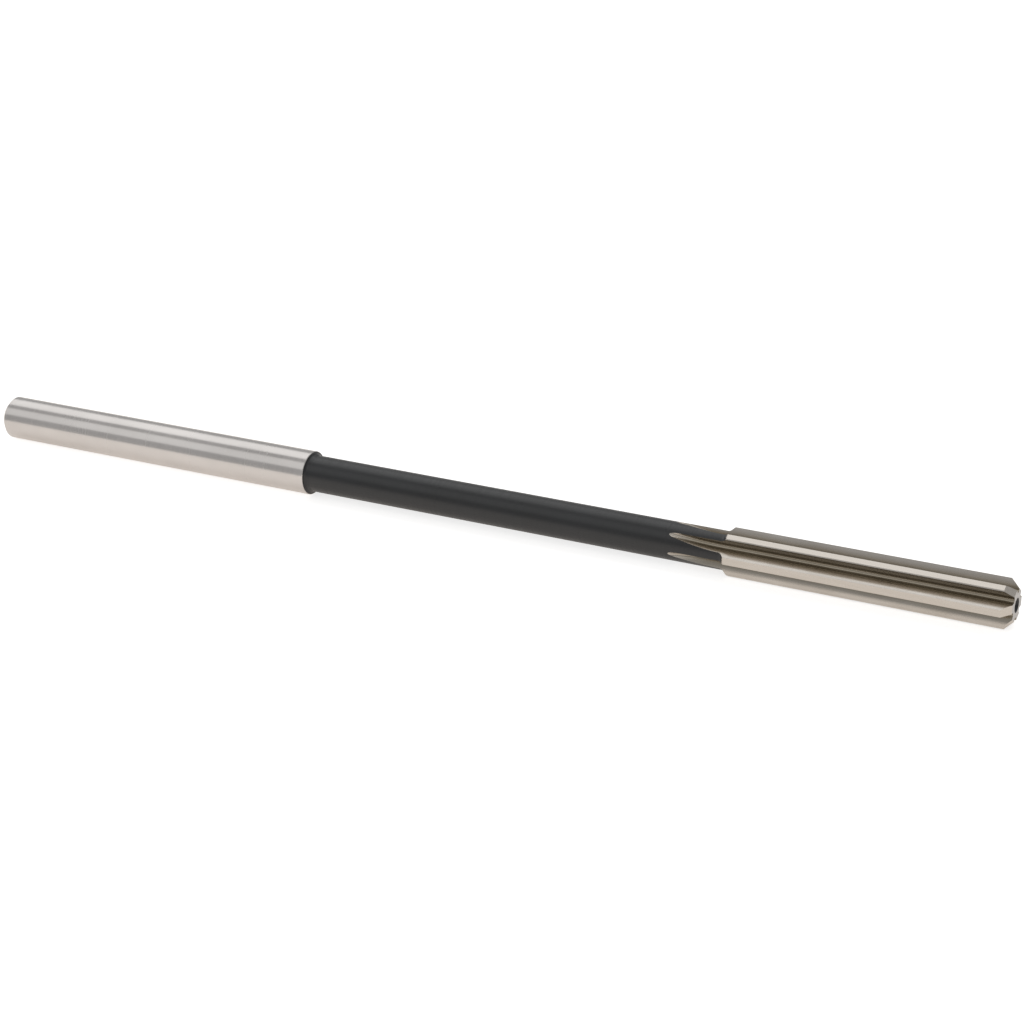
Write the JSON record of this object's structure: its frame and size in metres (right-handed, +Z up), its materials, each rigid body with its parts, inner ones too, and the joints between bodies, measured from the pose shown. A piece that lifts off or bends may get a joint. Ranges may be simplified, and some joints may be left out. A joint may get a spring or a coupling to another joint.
{
  "type": "machine reamer",
  "caption": "Straight-shank, straight-flute machine reamer with a slim blackened neck and a chamfered lead, for sizing a drilled hole.",
  "frame": {"origin": "on the surface that the tool lies on, midway along its length and straight below its axis", "axes": "+X along the tool's axis from the shank to the cutting tip, +Z up from the surface that it lies on, +Y to the left when looking from the shank towards the tip"},
  "size_m": [0.1524, 0.0064, 0.0061],
  "materials": {
    "tool_steel": "high-speed steel, ground bright on the shank, lands and flutes, black steam-oxide finish left on the turned neck and both steps"
  },
  "bodies": {
    "root": {"reamer": "tool_steel"}
  },
  "joints": []
}
